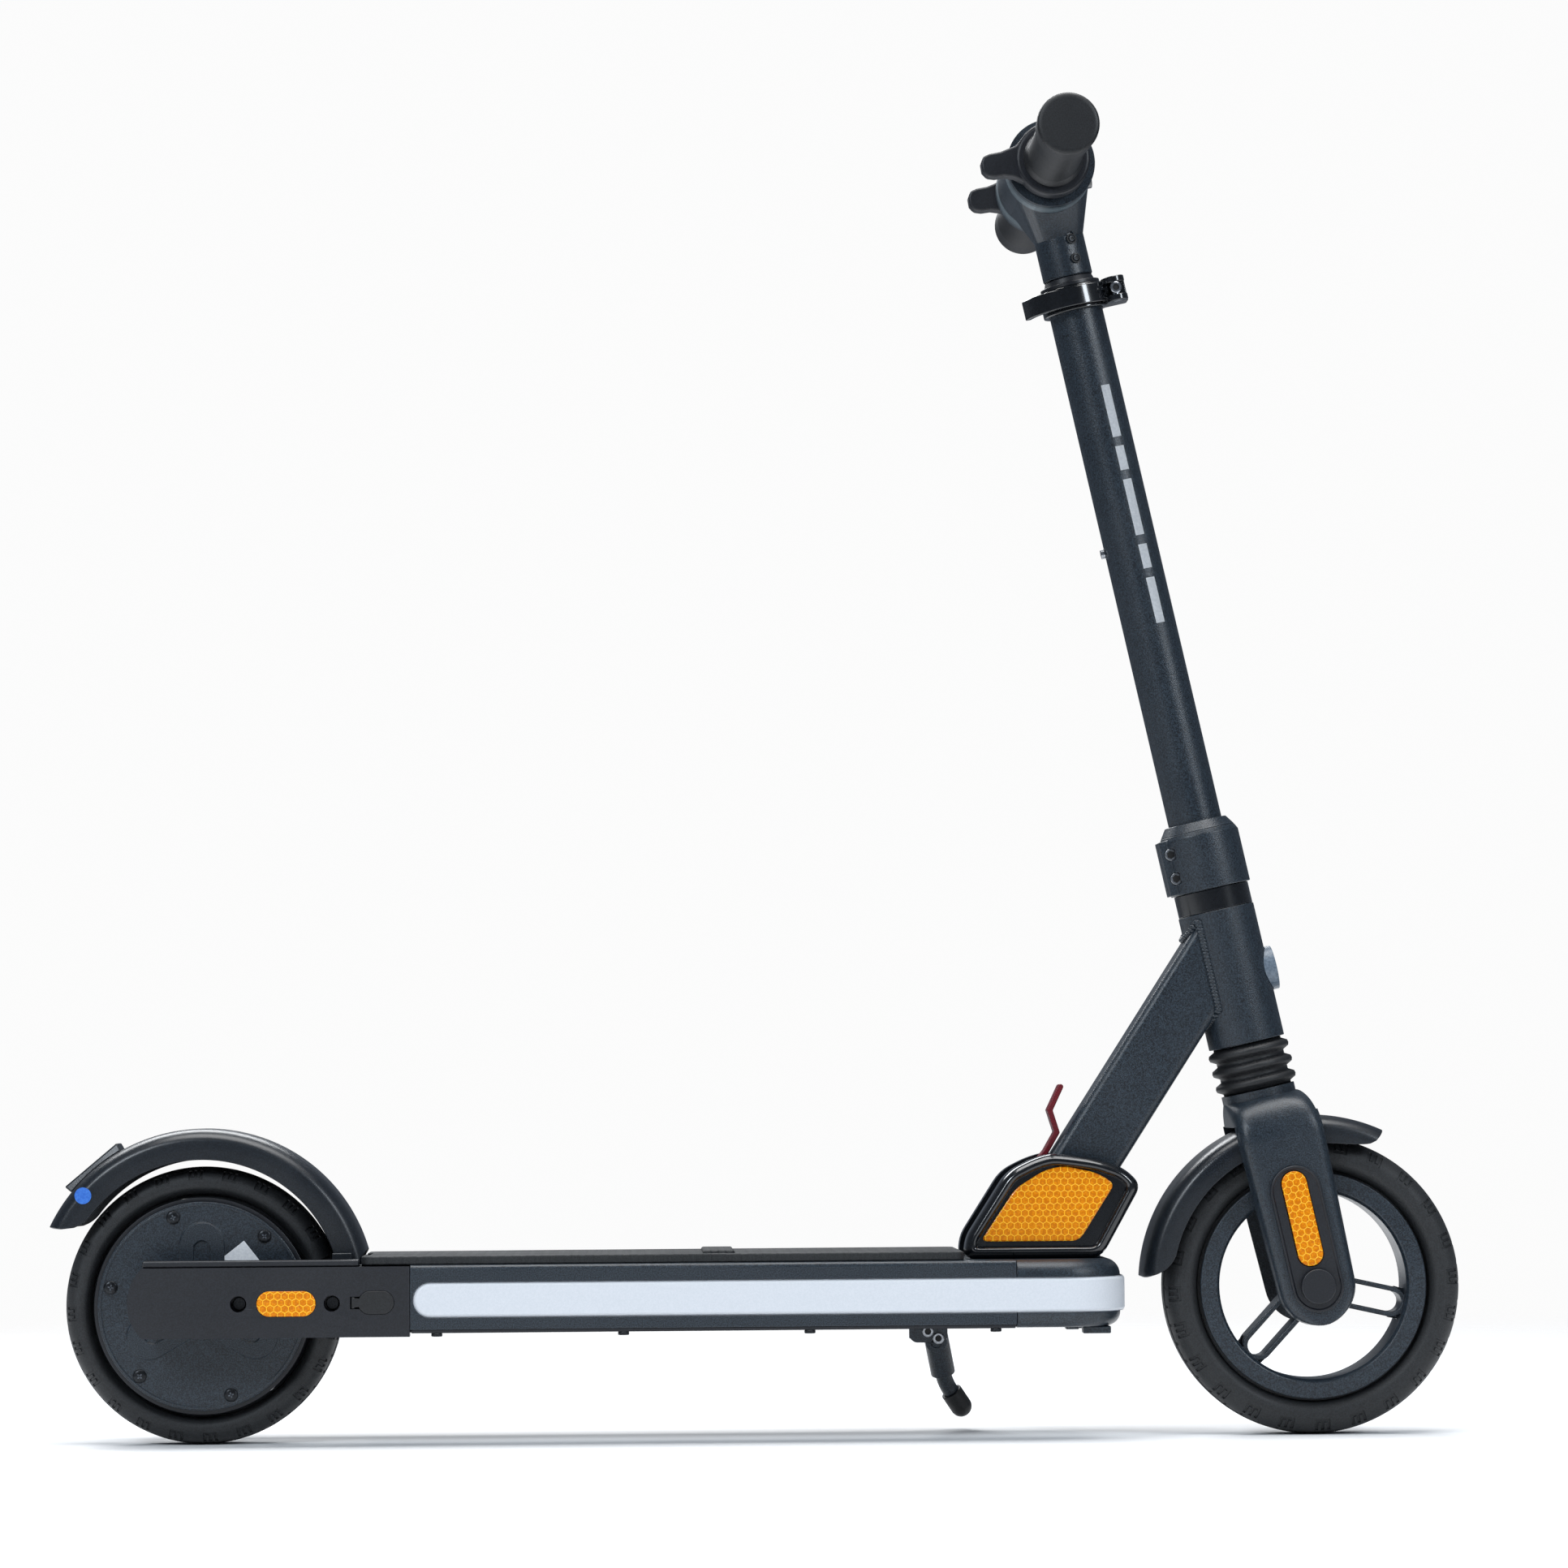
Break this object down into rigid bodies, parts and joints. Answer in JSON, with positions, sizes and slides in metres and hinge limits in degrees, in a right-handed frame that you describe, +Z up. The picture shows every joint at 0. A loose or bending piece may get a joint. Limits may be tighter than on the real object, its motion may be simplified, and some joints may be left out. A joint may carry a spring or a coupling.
{
  "type": "electric kick scooter",
  "caption": "Folding electric kick scooter with a hub-motor rear wheel, lit deck, sprung front fork and a height-adjustable handlebar.",
  "frame": {"origin": "on the ground, half way between tail and front tyre, midway across the scooter", "axes": "+X forward, +Y to the rider's left, +Z up"},
  "size_m": [1.0218, 0.452, 0.954],
  "materials": {
    "charcoal_coat": "satin powder coat, fine grain",
    "gloss_black": "gloss",
    "dark_plastic": "satin moulded",
    "bare_alloy": "satin",
    "bright_steel": "zinc plated",
    "tyre": "matte",
    "black_rubber": "matte",
    "amber_lens": "honeycomb reflector",
    "light_diffuser": "frosted",
    "red_lens": "clear red",
    "crimson_paint": "semi gloss",
    "dark_glass": "gloss window",
    "battery_wrap": "shrink wrap",
    "badge_grey": "satin"
  },
  "bodies": {
    "deck": {"deck_frame": "charcoal_coat", "deck_mat": "black_rubber", "nose_cap": "charcoal_coat", "light_strip": "light_diffuser", "belly_cover": "dark_plastic", "deck_screws": "bright_steel", "battery_pack": "battery_wrap", "controller": "bare_alloy", "charge_socket": "dark_plastic", "rear_arms": "charcoal_coat", "side_cover_left": "dark_plastic", "side_cover_right": "dark_plastic", "rear_mudguard": "dark_plastic", "tail_lamp": "red_lens", "hinge_bracket": "charcoal_coat", "hinge_pin": "bright_steel", "hinge_covers": "dark_plastic", "body_reflectors": "amber_lens", "kickstand_bracket": "charcoal_coat", "rear_axle": "bright_steel", "motor_stator": "bare_alloy"},
    "charge_flap": {"charge_cap": "black_rubber"},
    "kickstand": {"kickstand_leg": "gloss_black", "kickstand_foot": "black_rubber"},
    "rear_wheel": {"rear_tyre": "tyre", "motor_shell": "dark_plastic", "motor_covers": "charcoal_coat", "motor_bearings": "bright_steel"},
    "neck": {"down_tube": "charcoal_coat", "head_tube": "charcoal_coat", "headset_bearings": "bright_steel", "headset_band": "gloss_black", "badge": "badge_grey"},
    "latch": {"fold_lever": "crimson_paint"},
    "stem": {"steerer_tube": "bare_alloy", "stem_clamp": "charcoal_coat", "stem_screws": "bright_steel", "stem_cap": "charcoal_coat", "stem_tube": "charcoal_coat", "qr_collar": "gloss_black", "stem_bush": "dark_plastic"},
    "clamp_lever": {"qr_lever": "gloss_black"},
    "fork": {"fork": "charcoal_coat", "fork_covers": "dark_plastic", "fork_reflectors": "amber_lens", "front_axle": "bright_steel", "front_mudguard": "dark_plastic", "bellows": "black_rubber", "fork_spring": "bright_steel"},
    "front_wheel": {"front_tyre": "tyre", "front_rim": "charcoal_coat", "front_bearings": "bright_steel"},
    "bar": {"post_tube": "bare_alloy", "bar_head": "charcoal_coat", "handlebar": "bare_alloy", "grips": "black_rubber", "head_lenses": "dark_glass"},
    "throttle": {"throttle_paddle": "dark_plastic"},
    "brake": {"brake_paddle": "dark_plastic"},
    "button": {"power_button": "badge_grey"}
  },
  "joints": [
    {"name": "fold", "type": "hinge", "parent": "deck", "child": "neck", "pos_m": [0.18887, 0, 0.16], "axis": [0, -1, 0], "range_deg": [0, 85]},
    {"name": "latch_lever", "type": "hinge", "parent": "neck", "child": "latch", "pos_m": [0.20087, 0, 0.194], "axis": [0, -1, 0], "range_deg": [0, 25], "stiffness_Nm_per_rad": 0.5, "springref_deg": -17.19},
    {"name": "steering", "type": "hinge", "parent": "neck", "child": "stem", "pos_m": [0.33769, 0, 0.38076], "axis": [-0.2164, 0, 0.9763], "range_deg": [-60, 60]},
    {"name": "fork_travel", "type": "slide", "parent": "stem", "child": "fork", "axis": [-0.2164, 0, 0.9763], "range_m": [0, 0.015], "stiffness_N_per_m": 9000, "springref_m": -0.014, "deforming": ["bellows", "fork_spring"]},
    {"name": "front_wheel_spin", "type": "hinge", "parent": "fork", "child": "front_wheel", "pos_m": [0.40287, 0, 0.108], "axis": [0, 1, 0], "continuous": true},
    {"name": "rear_wheel_spin", "type": "hinge", "parent": "deck", "child": "rear_wheel", "pos_m": [-0.40013, 0, 0.1], "axis": [0, 1, 0], "continuous": true},
    {"name": "clamp_release", "type": "hinge", "parent": "stem", "child": "clamp_lever", "pos_m": [0.26734, -0.016, 0.83672], "axis": [-0.2164, 0, 0.9763], "range_deg": [0, 110]},
    {"name": "bar_height", "type": "slide", "parent": "stem", "child": "bar", "axis": [-0.2164, 0, 0.9763], "range_m": [0, 0.11]},
    {"name": "throttle_push", "type": "hinge", "parent": "bar", "child": "throttle", "pos_m": [0.2177, -0.075, 0.922], "axis": [0, -1, 0], "range_deg": [0, 30], "stiffness_Nm_per_rad": 0.15, "springref_deg": -17.19},
    {"name": "brake_push", "type": "hinge", "parent": "bar", "child": "brake", "pos_m": [0.2177, 0.075, 0.922], "axis": [0, -1, 0], "range_deg": [0, 30], "stiffness_Nm_per_rad": 0.15, "springref_deg": -17.19},
    {"name": "power_press", "type": "slide", "parent": "bar", "child": "button", "axis": [0.7373, 0, -0.6756], "range_m": [0, 0.0015], "stiffness_N_per_m": 400, "springref_m": -0.002},
    {"name": "kickstand_fold", "type": "hinge", "parent": "deck", "child": "kickstand", "pos_m": [0.13287, 0.058, 0.069], "axis": [0, 0.9272, 0.3746], "range_deg": [0, 95]},
    {"name": "charge_flap_open", "type": "hinge", "parent": "deck", "child": "charge_flap", "pos_m": [-0.28963, -0.0743, 0.103], "axis": [0, 0, -1], "range_deg": [0, 100]}
  ]
}
